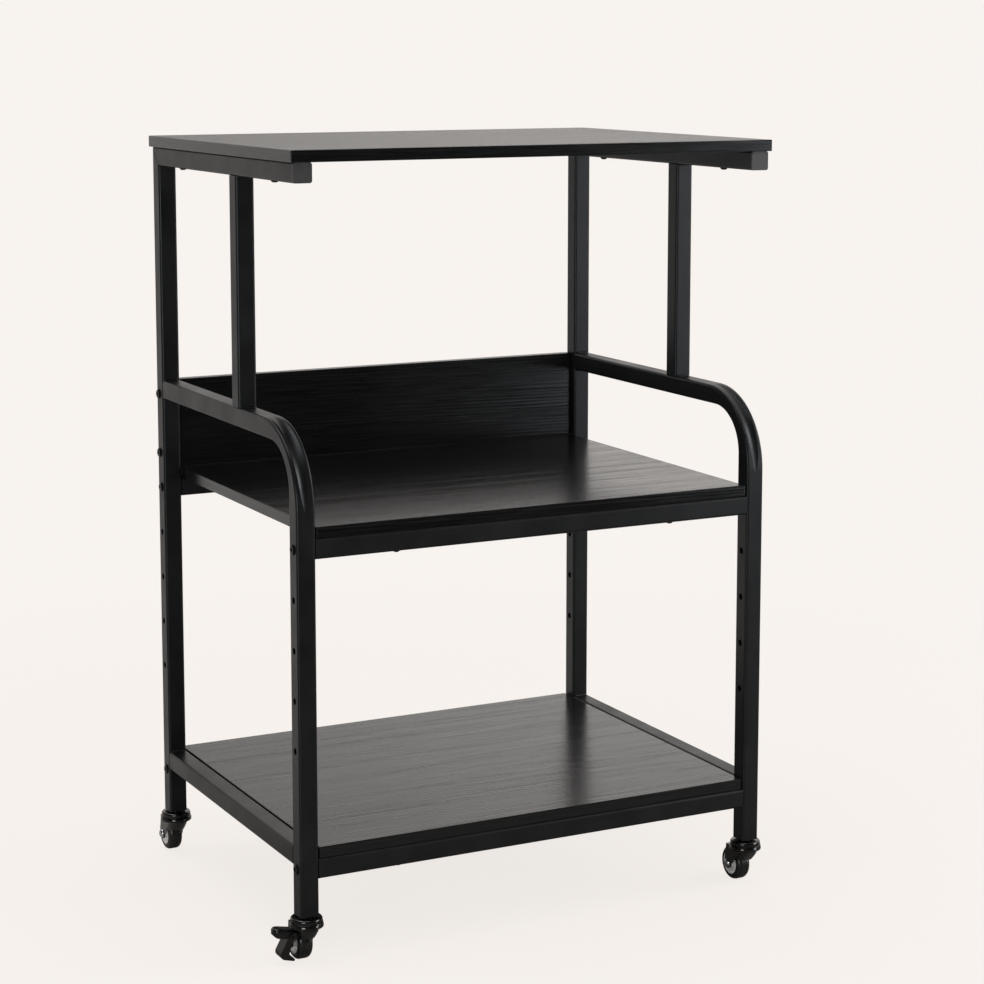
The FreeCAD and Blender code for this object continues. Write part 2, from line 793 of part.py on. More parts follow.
def caster_fork(name, braked):
    body = new_body(f"{name}_fork")
    top = crown_underside + 0.9 * size.crown_floor
    heel = size.caster_trail + size.fork_heel
    form = sketch_on(body, "YZ_Plane", f"{name}_fork_outline")
    outline(form, fork_front(0, top, size.hood_lip) + [
        (heel, size.hood_lip),
        (heel, top),
    ])
    pad(body, f"{name}_fork_form", form, fork_width, SideType="Symmetric")
    # hollow for the wheel, which leaves the hood, its sides and the crown
    hollow = sketch_on(body, "YZ_Plane", f"{name}_fork_hollow_outline")
    outline(hollow, fork_front(size.fork_plate, crown_underside, axle_height) + [
        (2 * heel, axle_height),
        (2 * heel, crown_underside),
    ])
    pocket(body, f"{name}_fork_hollow", hollow, fork_gap, SideType="Symmetric")
    inner_round = size.fork_nose_round - size.fork_plate
    rounded_edges(body, f"{name}_fork_nose_inside", inner_round, nose_edges(fork_gap / 2))
    rounded_edges(body, f"{name}_fork_nose", size.fork_nose_round, nose_edges(fork_width / 2))
    crown_cup(body, name)
    clearance = sketch_on(body, "YZ_Plane", f"{name}_wheel_clearance_outline")
    circle(clearance, size.caster_trail, axle_height, size.wheel_dia + 2 * size.wheel_side_gap)
    pocket(body, f"{name}_wheel_clearance", clearance, fork_gap, SideType="Symmetric")
    fork_legs(body, name, heel)

    king_pin_hole = sketch_on(body, "XY_Plane", f"{name}_king_pin_hole_outline", crown_inside)
    circle(king_pin_hole, 0, 0, size.stem_dia + 2 * size.running_clearance)
    pocket(body, f"{name}_king_pin_hole", king_pin_hole, size.crown_floor)
    if braked:
        brake_ears(body, name)
    axle = [(size.caster_trail, axle_height)]
    drill(body, "YZ_Plane", f"{name}_axle_hole", axle, size.axle_dia + 2 * size.running_clearance)
    at_caster(body, name)


def fork_front(inside, top, foot):
    # the bulging front of the hood, from its top down to a foot
    lean_y, lean_z = 0.42, math.sqrt(1 - 0.42 ** 2)
    reach = size.fork_nose_bulge - size.fork_end_radius
    centre_y, centre_z = size.caster_trail + lean_y * reach, axle_height + lean_z * reach
    radius = size.fork_nose_bulge - inside

    def front_at(height):
        drop = centre_z - height
        return (centre_y - square_root(radius * radius - drop * drop), height)
    return [front_at(top), front_at(foot) + (radius,)]


def fork_legs(body, name, heel):
    # two flat legs that run on from the sides of the hood, and slant back to round ends at the axle
    front, rear = size.caster_trail - size.fork_end_radius, size.caster_trail + size.fork_end_radius
    lip_y = fork_front(0, crown_underside, size.hood_lip)[1][0] + 1.05 * size.fork_nose_round
    plate = sketch_on(body, "YZ_Plane", f"{name}_leg_outline", fork_gap / 2)
    outline(plate, [
        (front, axle_height),
        (size.caster_trail, axle_height - size.fork_end_radius, size.fork_end_radius),
        (rear, axle_height, size.fork_end_radius),
        (heel, crown_underside),
        (lip_y, crown_underside),
        (lip_y, size.hood_lip),
    ])
    leg = pad(body, f"{name}_right_leg", plate, size.fork_plate)
    mirrored(body, f"{name}_left_leg", "YZ_Plane", [leg])


def crown_cup(body, name):
    # a cup for the swivel bearing, on top of the hood
    section = sketch_on(body, "XZ_Plane", f"{name}_crown_section")
    bore = king_pin + size.running_clearance
    soft = size.crown_underside_round
    outline(section, [
        (bore, crown_underside),
        (head_radius - soft, crown_underside),
        (head_radius, crown_underside + soft, soft),
        (head_radius, crown_rim),
        (head_radius - size.crown_wall, crown_rim),
        (head_radius - size.crown_wall, crown_inside),
        (bore, crown_inside),
    ])
    turned(body, f"{name}_crown", section, "Z_Axis")


def nose_edges(side):
    # picks the two long edges of the hood's front, which run down beside the wheel at this distance
    def chosen(edge):
        middle = edge.CenterOfMass
        at_side = abs(abs(middle.x) - side.number) < 0.01
        in_front = middle.y < 0 and middle.z < crown_underside.number - 1
        return at_side and in_front and edge.Length > size.fork_nose_round.number / 2
    return chosen


def brake_ears(body, name):
    # two lugs on the outside of the left leg, which hold the lever's pivot pin
    leg = -fork_width / 2
    barrel = size.pivot_barrel_dia / 2
    profile = sketch_on(body, "XZ_Plane", f"{name}_ear_outline", -ear_front)
    outline(profile, [
        (leg + 0.9 * size.fork_plate, size.pivot_height - barrel),
        (leg + 0.9 * size.fork_plate, size.pivot_height + barrel),
        (pivot_x, size.pivot_height + barrel),
        (pivot_x - barrel, size.pivot_height, barrel),
        (pivot_x, size.pivot_height - barrel, barrel),
    ])
    ear = pad(body, f"{name}_front_ear", profile, size.ear_thick, Reversed=True)
    apart = size.lever_width + 2 * size.ear_gap + size.ear_thick
    row_of_two(body, f"{name}_rear_ear", "Y_Axis", apart, [ear])
    holes = sketch_on(body, "XZ_Plane", f"{name}_ear_hole_outline")
    circle(holes, pivot_x, size.pivot_height, size.pivot_pin_dia + 2 * size.running_clearance)
    cut_through(body, f"{name}_ear_holes", holes)


def caster_axle(name):
    body = new_body(f"{name}_axle")
    leg = fork_width / 2
    head = leg + size.axle_head_height
    section = sketch_on(body, "XY_Plane", f"{name}_axle_section")
    outline(section, [
        (head, 0),
        (head, size.axle_head_dia / 4),
        (leg, size.axle_head_dia / 2, size.axle_head_dia / 3),
        (leg, size.axle_dia / 2),
        (-leg, size.axle_dia / 2),
        (-leg, size.axle_head_dia / 2),
        (-head, size.axle_head_dia / 4, size.axle_head_dia / 3),
        (-head, 0),
    ])
    turned(body, f"{name}_axle_turned", section, "X_Axis")
    at_caster(body, name, 0, size.caster_trail, axle_height)


def wheel_tyre(name):
    body = new_body(f"{name}_tyre")
    side, tread = size.wheel_width / 2, size.wheel_dia / 2
    inside = size.core_dia / 2 + size.thread_clearance
    corner = size.tread_round * (tread - inside)
    section = sketch_on(body, "XY_Plane", f"{name}_tyre_section")
    outline(section, [
        (-side, inside),
        (side, inside),
        (side, tread - corner),
        (side - corner, tread, corner),
        (corner - side, tread),
        (-side, tread - corner, corner),
    ])
    turned(body, f"{name}_tyre_turned", section, "X_Axis")
    at_caster(body, name, 0, size.caster_trail, axle_height)


def wheel_core(name):
    body = new_body(f"{name}_wheel_core")
    bore = size.axle_dia / 2 + size.running_clearance
    hub, rim = size.hub_dia / 2, size.core_dia / 2
    hub_side = fork_gap / 2 - size.hub_side_gap
    rim_side, web_side = size.core_rim_width / 2, size.core_web / 2
    rim_inside = rim - size.core_rim
    dish_inside = hub + size.core_dish * (rim_inside - hub)
    section = sketch_on(body, "XY_Plane", f"{name}_core_section")
    outline(section, [
        (-hub_side, bore),
        (hub_side, bore),
        (hub_side, hub),
        (web_side, hub),
        (web_side, dish_inside),
        (rim_side, rim_inside),
        (rim_side, rim),
        (-rim_side, rim),
        (-rim_side, rim_inside),
        (-web_side, dish_inside),
        (-web_side, hub),
        (-hub_side, hub),
    ])
    turned(body, f"{name}_core_turned", section, "X_Axis")
    at_caster(body, name, 0, size.caster_trail, axle_height)


def brake_lever(name):
    # a rocker: the upper wing locks, the toe below it swings in towards the tyre
    body = new_body(f"{name}_brake_lever")
    barrel, half_wing, half_lip = size.pivot_barrel_dia / 2, size.wing_thick / 2, size.lip_thick / 2
    lip_height = -size.toe_drop - size.lip_drop
    lip_end = size.lip_reach - size.toe_reach
    wing_top = (-size.wing_reach, size.wing_rise + half_wing)
    wing_bottom = (-size.wing_reach, size.wing_rise - half_wing)
    knee = (-size.toe_reach, -size.toe_drop)
    lip_bottom = (lip_end, lip_height - half_lip)
    lip_top = (lip_end, lip_height + half_lip)
    profile = sketch_on(body, "XZ_Plane", f"{name}_lever_outline")
    outline(profile, [
        wing_top,
        wing_bottom,
        (-1.4 * barrel, -0.7 * barrel),
        knee,
        lip_bottom,
        lip_top,
        (-barrel, lip_height + 2.5 * size.lip_thick),
        (0.6 * barrel, -0.8 * barrel),
        (barrel, 0, barrel),
        (barrel / 2, 2 * barrel),
    ])
    pad(body, f"{name}_lever_form", profile, size.lever_width, SideType="Symmetric")
    rounded_edges(body, f"{name}_lever_wing_end", 0.5 * size.wing_thick, across_at(wing_bottom))
    rounded_edges(body, f"{name}_lever_lip_end", 0.45 * size.lip_thick, across_at(lip_bottom, lip_top))
    rounded_edges(body, f"{name}_lever_knee", size.knee_round, across_at(knee))
    lever_tip(body, name)
    rounded_edges(body, f"{name}_lever_wing_rim", size.wing_rim, is_wing_rim)
    drill(body, "XZ_Plane", f"{name}_lever_bore", [(0, 0)], size.pivot_pin_dia + 2 * size.running_clearance)
    at_caster(body, name, pivot_x, size.lever_middle, size.pivot_height)


def across_at(*corners):
    # picks the edges that run across the lever at these corners of its outline
    places = [(corner[0].number, corner[1].number) for corner in corners]

    def chosen(edge):
        middle = edge.CenterOfMass
        across = abs(edge.Length - size.lever_width.number) < 0.001
        return across and any(math.hypot(middle.x - x, middle.z - z) < 0.01 for x, z in places)
    return chosen


def is_wing_rim(edge):
    # the upper edges of the wing's rounded end
    middle = edge.CenterOfMass
    at_end = middle.x < size.lever_tip_round.number - size.wing_reach.number
    return at_end and middle.z > size.wing_rise.number + 0.4 * size.wing_thick.number


def lever_tip(body, name):
    # rounds the wing's end as seen from above
    end, half, soft = -size.wing_reach, size.lever_width / 2, size.lever_tip_round
    waste = sketch_on(body, "XY_Plane", f"{name}_lever_tip_outline")
    outline(waste, [
        (end + soft, 2 * half),
        (end - soft, 2 * half),
        (end - soft, -2 * half),
        (end + soft, -2 * half),
        (end + soft, -half),
        (end, soft - half, -soft),
        (end, half - soft),
        (end + soft, half, -soft),
    ])
    pocket(body, f"{name}_lever_tip", waste, size.wing_rise + size.wing_thick, Reversed=True)


def brake_pin(name):
    body = new_body(f"{name}_brake_pin")
    length = size.lever_width + 2 * (size.ear_gap + size.ear_thick)
    section = sketch_on(body, "XZ_Plane", f"{name}_pin_outline")
    circle(section, 0, 0, size.pivot_pin_dia)
    pad(body, f"{name}_pin", section, length, SideType="Symmetric")
    at_caster(body, name, pivot_x, size.lever_middle, size.pivot_height)


for name, (sign_x, sign_y, braked) in casters.items():
    caster_socket(name)
    caster_stem(name)
    swivel_bearing(name)
    caster_fork(name, braked)
    caster_axle(name)
    wheel_tyre(name)
    wheel_core(name)
    if braked:
        brake_lever(name)
        brake_pin(name)

# Checks, then the files

document.recompute()
for thing in document.Objects:
    if "Invalid" in thing.State or "Error" in thing.State:
        raise RuntimeError(f"{thing.Label} failed: {thing.State}")
    if thing.TypeId in ("PartDesign::Pocket", "PartDesign::Groove"):
        if thing.Shape.Volume >= thing.BaseFeature.Shape.Volume:
            raise RuntimeError(f"{thing.Label} cuts nothing")
for body in nodes:
    if body.Shape.isNull() or not body.Shape.isValid():
        raise RuntimeError(f"{body.Label} has no valid shape")

os.makedirs("parts", exist_ok=True)
for body in nodes:
    body.Shape.exportStep(f"parts/{body.Label}.step")
print(f"{len(nodes)} sub-parts written")
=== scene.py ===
import bpy
import bmesh
import json
import math
from mathutils import Matrix, Vector


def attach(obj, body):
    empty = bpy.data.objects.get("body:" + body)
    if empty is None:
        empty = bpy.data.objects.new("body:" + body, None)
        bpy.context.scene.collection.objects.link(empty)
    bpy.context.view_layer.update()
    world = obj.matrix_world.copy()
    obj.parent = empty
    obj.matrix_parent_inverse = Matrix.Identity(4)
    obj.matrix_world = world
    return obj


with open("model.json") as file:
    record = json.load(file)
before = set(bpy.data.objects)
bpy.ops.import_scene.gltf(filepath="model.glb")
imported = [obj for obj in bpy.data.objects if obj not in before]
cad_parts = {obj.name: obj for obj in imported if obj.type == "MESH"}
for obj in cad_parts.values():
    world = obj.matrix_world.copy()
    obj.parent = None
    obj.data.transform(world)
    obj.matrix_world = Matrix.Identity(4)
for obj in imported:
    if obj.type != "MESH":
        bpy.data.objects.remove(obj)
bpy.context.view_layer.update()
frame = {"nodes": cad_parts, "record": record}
print("loaded", len(frame["nodes"]), "pieces of the stand")


def hexColor(text):
    # sRGB hex to the linear colour that Blender's sockets take
    values = [int(text[i:i + 2], 16) / 255 for i in (1, 3, 5)]
    return [v / 12.92 if v <= 0.04045 else ((v + 0.055) / 1.055) ** 2.4 for v in values] + [1.0]


def perMm(size):
    return 1000 / size  # texture scale for a pattern whose size is given in millimetres


def ends(which, pair):
    return {f"{which} Min": pair[0], f"{which} Max": pair[1]}  # the two sockets of a range


def addNode(tree, kind, links=None, take=None, **settings):
    # settings go to the node itself, links holds socket values and the sockets that feed it;
    # gives back the node, or only the output that take names
    made = tree.nodes.new("ShaderNode" + kind)
    for name, value in settings.items():
        setattr(made, name, value)
    for socket, value in (links or {}).items():
        if isinstance(value, bpy.types.NodeSocket):
            tree.links.new(value, made.inputs[socket])
        else:
            made.inputs[socket].default_value = value
    return made.outputs[take] if take else made


def newFinish(name):
    material = bpy.data.materials.new(name)
    material.use_nodes = True
    material.node_tree.nodes.clear()
    return material, material.node_tree


noiseSpan = (0.3, 0.7)  # nearly all of a noise lies between these

powder = {
    "deep": "#0a0a0b", "thin": "#121213",  # the coat, and where it lies thinner
    "cloudMm": 45, "cloudDetail": 3.0,
    "peelMm": 2.2, "peelDetail": 1.5,  # real peel is about 1 mm, drawn coarser so that it shows
    "peelHeight": 0.00004, "peelStrength": 0.5,
    "rough": (0.34, 0.44), "specular": 0.4, "sheen": "#eef4fa",
    "mitre": 0.61075, "mitreFrom": 0.7804,  # z minus y on the joint, and its lowest z, in metres
    # the mitre gap: its width and depth, its near-black colour, which is painted shade, and its
    # dull gloss
    "gapWide": 0.0007, "gapDeep": 0.0006, "gap": "#010101", "gapRough": 0.9,
}


def blackPowderCoat():
    # polyester powder sprayed on steel tube and baked: satin black, with a faint orange peel in
    # the gloss, and a fine sunk gap where rear post and top rail meet at 45 degrees, whose
    # near-black colour is painted shade
    material, tree = newFinish("blackPowderCoat")
    place = addNode(tree, "TexCoord", take="Object")
    cloud = addNode(tree, "TexNoise", {
        "Vector": place, "Scale": perMm(powder["cloudMm"]), "Detail": powder["cloudDetail"]},
        take="Fac")
    peel = addNode(tree, "TexNoise", {
        "Vector": place, "Scale": perMm(powder["peelMm"]), "Detail": powder["peelDetail"]},
        take="Fac")
    axes = addNode(tree, "SeparateXYZ", {"Vector": place})
    level = addNode(tree, "Math", {0: axes.outputs["Z"], 1: axes.outputs["Y"]}, take="Value",
                    operation="SUBTRACT")
    offset = addNode(tree, "Math", {0: level, 1: powder["mitre"]}, take="Value",
                     operation="SUBTRACT")
    apart = addNode(tree, "Math", {0: offset}, take="Value", operation="ABSOLUTE")
    near = addNode(tree, "MapRange", {
        "Value": apart, **ends("From", (powder["gapWide"] / 2, powder["gapWide"])),
        **ends("To", (1, 0))}, take="Result")
    upper = addNode(tree, "Math", {0: axes.outputs["Z"], 1: powder["mitreFrom"]}, take="Value",
                    operation="GREATER_THAN")
    gap = addNode(tree, "Math", {0: upper, 1: near}, take="Value", operation="MULTIPLY")
    sunk = addNode(tree, "Bump", {"Height": gap, "Distance": powder["gapDeep"]}, take="Normal",
                   invert=True)
    bump = addNode(tree, "Bump", {
        "Height": peel, "Strength": powder["peelStrength"], "Distance": powder["peelHeight"],
        "Normal": sunk}, take="Normal")
    thinner = addNode(tree, "MapRange", {"Value": cloud, **ends("From", noiseSpan)},
                      take="Result")
    coat = addNode(tree, "Mix", {
        "Factor": thinner, "A": hexColor(powder["deep"]), "B": hexColor(powder["thin"])},
        take="Result", data_type="RGBA")
    # near-black painted shade inside the mitre gap
    color = addNode(tree, "Mix", {"Factor": gap, "A": coat, "B": hexColor(powder["gap"])},
                    take="Result", data_type="RGBA")
    satin = addNode(tree, "MapRange", {
        "Value": cloud, **ends("From", noiseSpan), **ends("To", powder["rough"])}, take="Result")
    rough = addNode(tree, "Mix", {"Factor": gap, "A": satin, "B": powder["gapRough"]},
                    take="Result", data_type="FLOAT")
    shader = addNode(tree, "BsdfPrincipled", {
        "Base Color": color, "Roughness": rough, "Normal": bump,
        "Specular IOR Level": powder["specular"], "Specular Tint": hexColor(powder["sheen"])},
        take="BSDF")
    addNode(tree, "OutputMaterial", {"Surface": shader})
    return material


laminate = {
    "deep": "#090909", "pale": "#101010", "lineAndGlint": "#161616",  # black grain printed under the film; the paler lines are partly print, partly a painted highlight of glints on the pressed grain
    "lineMm": 3.8, "runMm": 230,  # spacing of the pressed grain lines, and how far one runs
    "waveLength": 0.628,  # a diagonal wave texture of scale 1 repeats after this
    "waver": 5.5, "waverDetail": 2.0, "waverScale": 0.7,  # how the lines wander
    "sharp": 3.0,  # above 1 the lines get narrower than the gaps between them
    "fadeMm": 11.4, "fadeDetail": 1.0,  # the lines fade in and out along the board
    "fadeNoise": (0.38, 0.62), "fadeTo": (0.2, 1),
    "poreMm": 2.0, "poreRunMm": 45,  # real pores are under 1 mm wide, drawn coarser to show
    "poreDetail": 2.0,
    "lineHeight": 0.00011, "lineStrength": 0.8, "poreHeight": 0.00001, "poreStrength": 0.7,
    "rough": (0.19, 0.26), "sheen": "#eef4fa",  # low gloss, a little cool
    "arris": 0.001, "arrisSamples": 4,  # the radius that hands and edge bander leave on corners
    "endFace": 0.7,  # a face whose normal leans this far along x is a board's end
}


def blackGrainLaminate():
    # melamine film pressed on particle board: black, low gloss, with embossed wood grain along
    # the long side that catches the light in fine broken lines; on the end edges the band's
    # grain runs the other way
    material, tree = newFinish("blackGrainLaminate")
    place = addNode(tree, "TexCoord")
    side = addNode(tree, "SeparateXYZ", {"Vector": place.outputs["Normal"]}, take="X")
    lean = addNode(tree, "Math", {0: side}, take="Value", operation="ABSOLUTE")
    endFace = addNode(tree, "Math", {0: lean, 1: laminate["endFace"]}, take="Value",
                      operation="GREATER_THAN")

    def alongGrain(width, run):
        squeeze = width / run
        longWay, endWay = [
            addNode(tree, "Mapping", {"Vector": place.outputs["Object"], "Scale": scale},
                    take="Vector")
            for scale in ((squeeze, 1, 1), (1, squeeze, 1))]
        return addNode(tree, "Mix", {"Factor": endFace, "A": longWay, "B": endWay},
                       take="Result", data_type="VECTOR")

    lineWay = alongGrain(laminate["lineMm"], laminate["runMm"])
    lines = addNode(tree, "TexWave", {
        "Vector": lineWay, "Scale": perMm(laminate["lineMm"]) * laminate["waveLength"],
        "Distortion": laminate["waver"], "Detail": laminate["waverDetail"],
        "Detail Scale": laminate["waverScale"]}, take="Fac", bands_direction="DIAGONAL")
    pores = addNode(tree, "TexNoise", {
        "Vector": alongGrain(laminate["poreMm"], laminate["poreRunMm"]),
        "Scale": perMm(laminate["poreMm"]), "Detail": laminate["poreDetail"]}, take="Fac")
    drift = addNode(tree, "TexNoise", {
        "Vector": lineWay, "Scale": perMm(laminate["fadeMm"]), "Detail": laminate["fadeDetail"]},
        take="Fac")
    narrow = addNode(tree, "Math", {0: lines, 1: laminate["sharp"]}, take="Value",
                     operation="POWER")
    fade = addNode(tree, "MapRange", {
        "Value": drift, **ends("From", laminate["fadeNoise"]), **ends("To", laminate["fadeTo"])},
        take="Result")
    lineDepth = addNode(tree, "Math", {0: narrow, 1: fade}, take="Value", operation="MULTIPLY")
    arris = addNode(tree, "Bevel", {"Radius": laminate["arris"]}, take="Normal",
                    samples=laminate["arrisSamples"])
    pressed = addNode(tree, "Bump", {
        "Height": lineDepth, "Strength": laminate["lineStrength"],
        "Distance": laminate["lineHeight"], "Normal": arris}, take="Normal")
    bump = addNode(tree, "Bump", {
        "Height": pores, "Strength": laminate["poreStrength"],
        "Distance": laminate["poreHeight"], "Normal": pressed}, take="Normal")
    paler = addNode(tree, "MapRange", {"Value": pores, **ends("From", noiseSpan)}, take="Result")
    ground = addNode(tree, "Mix", {
        "Factor": paler, "A": hexColor(laminate["deep"]), "B": hexColor(laminate["pale"])},
        take="Result", data_type="RGBA")
    # the grain lines are drawn paler: partly printed grain, partly a painted highlight standing in
    # for glints along the pressed lines
    printAndGlint = addNode(tree, "Mix", {
        "Factor": lineDepth, "A": ground, "B": hexColor(laminate["lineAndGlint"])},
        take="Result", data_type="RGBA")
    rough = addNode(tree, "MapRange", {
        "Value": pores, **ends("From", noiseSpan), **ends("To", laminate["rough"])},
        take="Result")
    shader = addNode(tree, "BsdfPrincipled", {
        "Base Color": printAndGlint, "Roughness": rough, "Normal": bump,
        "Specular Tint": hexColor(laminate["sheen"])}, take="BSDF")
    addNode(tree, "OutputMaterial", {"Surface": shader})
    return material


moulding = {"cloudDetail": 2.0, "grainDetail": 1.0, "grainStrength": 0.6}


def mouldedFinish(name, look):
    # a fine grain in the gloss and a slow change of tone: what moulding, dipping or plating leaves
    material, tree = newFinish(name)
    place = addNode(tree, "TexCoord", take="Object")
    cloud = addNode(tree, "TexNoise", {
        "Vector": place, "Scale": perMm(look["cloudMm"]), "Detail": moulding["cloudDetail"]},
        take="Fac")
    grain = addNode(tree, "TexNoise", {
        "Vector": place, "Scale": perMm(look["grainMm"]), "Detail": moulding["grainDetail"]},
        take="Fac")
    bump = addNode(tree, "Bump", {
        "Height": grain, "Strength": moulding["grainStrength"], "Distance": look["grainHeight"]},
        take="Normal")
    paler = addNode(tree, "MapRange", {"Value": cloud, **ends("From", noiseSpan)}, take="Result")
    color = addNode(tree, "Mix", {
        "Factor": paler, "A": hexColor(look["deep"]), "B": hexColor(look["pale"])},
        take="Result", data_type="RGBA")
    rough = addNode(tree, "MapRange", {
        "Value": cloud, **ends("From", noiseSpan), **ends("To", look["rough"])}, take="Result")
    shader = addNode(tree, "BsdfPrincipled", {
        "Base Color": color, "Roughness": rough, "Normal": bump, **look.get("constants", {})},
        take="BSDF")
    addNode(tree, "OutputMaterial", {"Surface": shader})
    return material


zincCoat = {"finer": 3, "height": 0.00002, "strength": 0.4}  # a fine unevenness in each crystal


def spangledZinc(name, look):
    # zinc plate on steel: a cool bright metal whose crystals show as patches of slightly
    # different gloss
    material, tree = newFinish(name)
    place = addNode(tree, "TexCoord", take="Object")
    crystals = addNode(tree, "TexVoronoi", {"Vector": place, "Scale": perMm(look["crystalMm"])},
                       take="Color")
    patch = addNode(tree, "SeparateXYZ", {"Vector": crystals}, take="X")
    fine = addNode(tree, "TexNoise", {
        "Vector": place, "Scale": perMm(look["crystalMm"] / zincCoat["finer"])}, take="Fac")
    bump = addNode(tree, "Bump", {
        "Height": fine, "Strength": zincCoat["strength"], "Distance": zincCoat["height"]},
        take="Normal")
    color = addNode(tree, "Mix", {
        "Factor": patch, "A": hexColor(look["deep"]), "B": hexColor(look["pale"])},
        take="Result", data_type="RGBA")
    rough = addNode(tree, "MapRange", {"Value": patch, **ends("To", look["rough"])},
                    take="Result")
    shader = addNode(tree, "BsdfPrincipled", {
        "Base Color": color, "Roughness": rough, "Normal": bump, "Metallic": 1.0}, take="BSDF")
    addNode(tree, "OutputMaterial", {"Surface": shader})
    return material


mouldedLooks = {
    # polypropylene end caps off a spark-eroded mould: a dull, very fine texture
    "blackPolypropylene": {"deep": "#343435", "pale": "#3e3e3f", "cloudMm": 14, "grainMm": 1.2,
                           "grainHeight": 0.00003, "rough": (0.38, 0.46)},
    # black oxide on cold-headed bolts: a dark oily metal
    "blackOxideSteel": {"deep": "#232325", "pale": "#343437", "cloudMm": 5, "grainMm": 1.0,
                        "grainHeight": 0.00002, "rough": (0.26, 0.38),
                        "constants": {"Metallic": 1.0}},
    # stoving enamel dipped over pressed steel: deep gloss, slightly wavy where it ran
    "glossStoveEnamel": {"deep": "#040405", "pale": "#090909", "cloudMm": 12, "grainMm": 5,
                         "grainHeight": 0.00006, "rough": (0.1, 0.17),
                         "constants": {"Coat Weight": 0.25, "Coat Roughness": 0.05}},
    # acetal bearing race: waxy, dark
    "blackAcetal": {"deep": "#121213", "pale": "#19191a", "cloudMm": 8, "grainMm": 1.5,
                    "grainHeight": 0.00002, "rough": (0.28, 0.36)},
    # nylon tread, moulded and slightly scuffed where it rolls
    "blackNylonTread": {"deep": "#0e0e0f", "pale": "#1a1a1b", "cloudMm": 6, "grainMm": 1.4,
                        "grainHeight": 0.00004, "rough": (0.22, 0.34)},
    # thin silver plating under a milky lacquer on a moulded wheel core: to the eye half metal,
    # half pale plastic
    "silverPlatedCore": {"deep": "#d6d8da", "pale": "#ecedee", "cloudMm": 7, "grainMm": 1.3,
                         "grainHeight": 0.00002, "rough": (0.16, 0.26),
                         "constants": {"Metallic": 0.3}},
    # glass-filled nylon brake lever from a polished mould: glossy black
    "glossBlackNylon": {"deep": "#0a0a0b", "pale": "#131314", "cloudMm": 9, "grainMm": 3,
                        "grainHeight": 0.00004, "rough": (0.15, 0.24)},
}
zincLooks = {
    "zincPlatedSteel": {"deep": "#9da1a4", "pale": "#b9bdbf", "crystalMm": 3,
                        "rough": (0.3, 0.42)},
    "brightZincAxle": {"deep": "#b9bdc1", "pale": "#d0d3d6", "crystalMm": 2,
                       "rough": (0.18, 0.28)},
}
slotFinish = {
    "frame_steel": "blackPowderCoat", "laminated_board": "blackGrainLaminate",
    "black_plastic": "blackPolypropylene", "black_bolt_steel": "blackOxideSteel",
    "zinc_steel": "zincPlatedSteel", "caster_steel": "glossStoveEnamel",
    "bearing_plastic": "blackAcetal", "axle_steel": "brightZincAxle",
    "tread_plastic": "blackNylonTread", "core_plastic": "silverPlatedCore",
    "lever_plastic": "glossBlackNylon",
}

finishes = {"blackPowderCoat": blackPowderCoat(), "blackGrainLaminate": blackGrainLaminate()}
for name, look in mouldedLooks.items():
    finishes[name] = mouldedFinish(name, look)
for name, look in zincLooks.items():
    finishes[name] = spangledZinc(name, look)
for row in frame["record"]["subparts"]:
    finish = finishes[slotFinish[row["material_slot"]]]
    frame["nodes"][row["node"]].material_slots[0].material = finish
print("finishes:", len(finishes))

slack = 0.00001  # metres, for picking points by their place
creaseAngle = math.radians(40)  # edges sharper than this stay hard


def clearSelection():
    bpy.ops.object.select_all(action="DESELECT")


def pickVertices(piece, test):
    bpy.ops.mesh.select_mode(type="VERT")
    bpy.ops.mesh.select_all(action="DESELECT")
    shape = bmesh.from_edit_mesh(piece.data)
    for vertex in shape.verts:
        vertex.select = test(vertex.co)
    shape.select_flush_mode()
    bmesh.update_edit_mesh(piece.data)


def pickEdges(piece, test):
    bpy.ops.mesh.select_mode(type="EDGE")
    bpy.ops.mesh.select_all(action="DESELECT")
    shape = bmesh.from_edit_mesh(piece.data)
    for edge in shape.edges:
        edge.select = test(edge.verts[0].co, edge.verts[1].co)
    shape.select_flush_mode()
    bmesh.update_edit_mesh(piece.data)


def copyTo(model, name, move, body, slot):
    # a copy with its own mesh, whose place is in that mesh
    piece = bpy.data.objects.new(name, model.data.copy())
    bpy.context.scene.collection.objects.link(piece)
    piece.data.transform(move)
    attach(piece, body)
    piece.data.materials.clear()
    piece.data.materials.append(finishes[slotFinish[slot]])


weld = {
    "length": 0.0155, "radius": 0.0023, "sides": 14,  # metres
    "ripples": 8, "neck": 0.84, "ends": 0.62,  # a stack-of-coins bead that draws in at its ends
    "sink": 0.0004,  # how far its middle lies inside the corner
    "tubeX": 0.26005,
}


def modelWeldBead():
    clearSelection()
    bpy.ops.mesh.primitive_cylinder_add(vertices=weld["sides"], radius=weld["radius"],
                                        depth=weld["length"], rotation=(0, math.pi / 2, 0))
    bead = bpy.context.active_object
    bpy.ops.object.transform_apply(location=True, rotation=True, scale=True)
    bpy.ops.object.mode_set(mode="EDIT")
    half = weld["length"] / 2
    pickEdges(bead, lambda a, b: abs(a.x - b.x) > half)
    cuts = 2 * weld["ripples"] - 1
    bpy.ops.mesh.subdivide(number_cuts=cuts)
    step = weld["length"] / (cuts + 1)
    pickVertices(bead, lambda c: round((c.x + half) / step) % 2 == 0)  # the necks between ripples
    bpy.ops.transform.resize(value=(1, weld["neck"], weld["neck"]), center_override=(0, 0, 0))
    pickVertices(bead, lambda c: abs(c.x) > half - slack)
    bpy.ops.transform.resize(value=(1, weld["ends"], weld["ends"]), center_override=(0, 0, 0))
    bpy.ops.object.mode_set(mode="OBJECT")
    smooth = bead.modifiers.new("smooth", "SUBSURF")
    smooth.levels = smooth.render_levels = 1
    bpy.ops.object.modifier_apply(modifier=smooth.name)
    bpy.ops.object.shade_smooth()
    return bead


